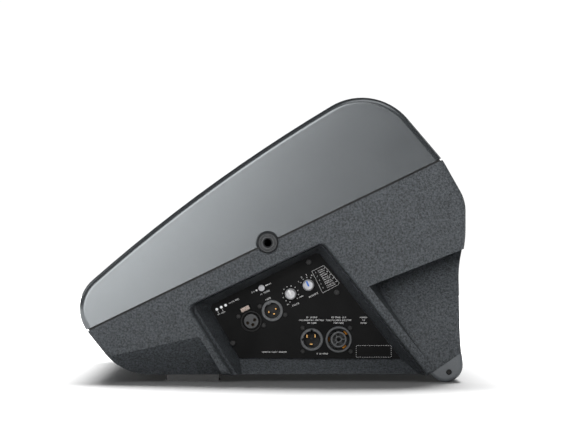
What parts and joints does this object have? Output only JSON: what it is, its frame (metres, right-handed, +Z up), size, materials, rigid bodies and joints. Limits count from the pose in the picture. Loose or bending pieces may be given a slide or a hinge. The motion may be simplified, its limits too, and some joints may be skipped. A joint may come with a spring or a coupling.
{
  "type": "stage monitor wedge",
  "caption": "Active floor monitor wedge with a coaxial driver behind a bowed grille, side connector recess, hand grips and threaded fixing points.",
  "frame": {"origin": "on the floor, under the middle of the outline", "axes": "+Z up, +X from the front toe to the rear heel, -Y towards the connector side"},
  "size_m": [0.3867, 0.52, 0.285],
  "materials": {
    "cabinet_plastic": "coarse grained charcoal moulding",
    "shell_plastic": "satin fine grained charcoal moulding",
    "seal_rubber": "soft black strip",
    "zinc_screw": "zinc plated",
    "black_screw": "black oxide",
    "grille_steel": "black powder coat",
    "grille_foam": "open cell acoustic foam",
    "port_plastic": "black moulding",
    "insert_metal": "black coated die casting",
    "foot_rubber": "matt black rubber",
    "foot_plastic": "smooth charcoal moulding",
    "panel_paint": "black coated sheet",
    "connector_black": "black moulding",
    "connector_grey": "grey moulding",
    "contact_metal": "plated contacts",
    "latch_metal": "bright plated",
    "led_lens": "clear lens",
    "knob_grey": "light grey moulding",
    "circuit_board": "solder mask",
    "aluminium": "extruded",
    "component_black": "moulded parts",
    "capacitor_sleeve": "shrink sleeve",
    "transformer_tape": "wound core with tape",
    "basket_paint": "black coated casting",
    "cone_paper": "coated pulp",
    "surround_cloth": "doped cloth",
    "spider_cloth": "resin treated cloth",
    "coil_wire": "enamelled wire",
    "motor_steel": "plated steel",
    "magnet_black": "coated magnet",
    "horn_plastic": "black moulding",
    "diaphragm_metal": "thin foil",
    "wadding": "polyester wool"
  },
  "bodies": {
    "enclosure": {"rear_cabinet": "cabinet_plastic", "front_shell": "shell_plastic", "shell_gasket": "seal_rubber", "shell_screws": "zinc_screw", "grille": "grille_steel", "grille_foam": "grille_foam", "grille_screws": "black_screw", "port_tubes": "port_plastic", "yoke_insert_left": "insert_metal", "yoke_insert_right": "insert_metal", "front_feet": "foot_rubber", "rear_feet": "foot_plastic", "foot_screws": "black_screw", "panel_plate": "panel_paint", "panel_gasket": "seal_rubber", "panel_screws": "black_screw", "xlr_input_shell": "connector_black", "xlr_input_insert": "connector_grey", "xlr_input_contacts": "contact_metal", "xlr_link_shell": "connector_grey", "xlr_link_insert": "connector_black", "xlr_link_pins": "contact_metal", "connector_screws": "black_screw", "ac_input_shell": "connector_grey", "ac_input_core": "connector_black", "ac_input_blades": "contact_metal", "ac_output_shell": "connector_grey", "ac_output_core": "connector_grey", "ac_output_contacts": "contact_metal", "status_leds": "led_lens", "level_pot": "component_black", "preset_switch": "component_black", "filter_switch": "component_black", "control_board": "circuit_board", "amp_chassis": "aluminium", "heatsink": "aluminium", "amp_board": "circuit_board", "capacitors": "capacitor_sleeve", "transformer": "transformer_tape", "power_devices": "component_black", "woofer_basket": "basket_paint", "woofer_gasket": "seal_rubber", "woofer_screws": "zinc_screw", "surround": "surround_cloth", "spider": "spider_cloth", "top_plate": "motor_steel", "magnet": "magnet_black", "pole_plate": "motor_steel", "hf_horn": "horn_plastic", "hf_plate": "motor_steel", "hf_magnet": "magnet_black", "hf_cover": "component_black", "damping_wadding": "wadding"},
    "level_knob": {"level_knob": "knob_grey"},
    "preset_knob": {"preset_knob": "knob_grey"},
    "filter_button": {"filter_button": "knob_grey"},
    "xlr_latch": {"xlr_latch": "latch_metal"},
    "woofer_cone": {"woofer_cone": "cone_paper", "voice_coil": "coil_wire"},
    "hf_diaphragm": {"hf_diaphragm": "diaphragm_metal"}
  },
  "joints": [
    {"name": "level_turn", "type": "hinge", "parent": "enclosure", "child": "level_knob", "pos_m": [0.018, -0.22, 0.0873], "axis": [0, -1, 0], "range_deg": [-150, 150]},
    {"name": "preset_turn", "type": "hinge", "parent": "enclosure", "child": "preset_knob", "pos_m": [0.036, -0.22, 0.0962], "axis": [0, -1, 0], "range_deg": [-45, 45]},
    {"name": "filter_press", "type": "slide", "parent": "enclosure", "child": "filter_button", "axis": [0, 1, 0], "range_m": [0, 0.0016], "stiffness_N_per_m": 300, "springref_m": -0.001},
    {"name": "latch_press", "type": "slide", "parent": "enclosure", "child": "xlr_latch", "axis": [0, 1, 0], "range_m": [0, 0.0015], "stiffness_N_per_m": 300, "springref_m": -0.001},
    {"name": "cone_travel", "type": "slide", "parent": "enclosure", "child": "woofer_cone", "axis": [-0.5892, 0, 0.808], "range_m": [-0.005, 0.005], "stiffness_N_per_m": 2500, "deforming": ["surround", "spider"]},
    {"name": "diaphragm_travel", "type": "slide", "parent": "enclosure", "child": "hf_diaphragm", "axis": [-0.5892, 0, 0.808], "range_m": [-0.0003, 0.0003], "stiffness_N_per_m": 400}
  ]
}
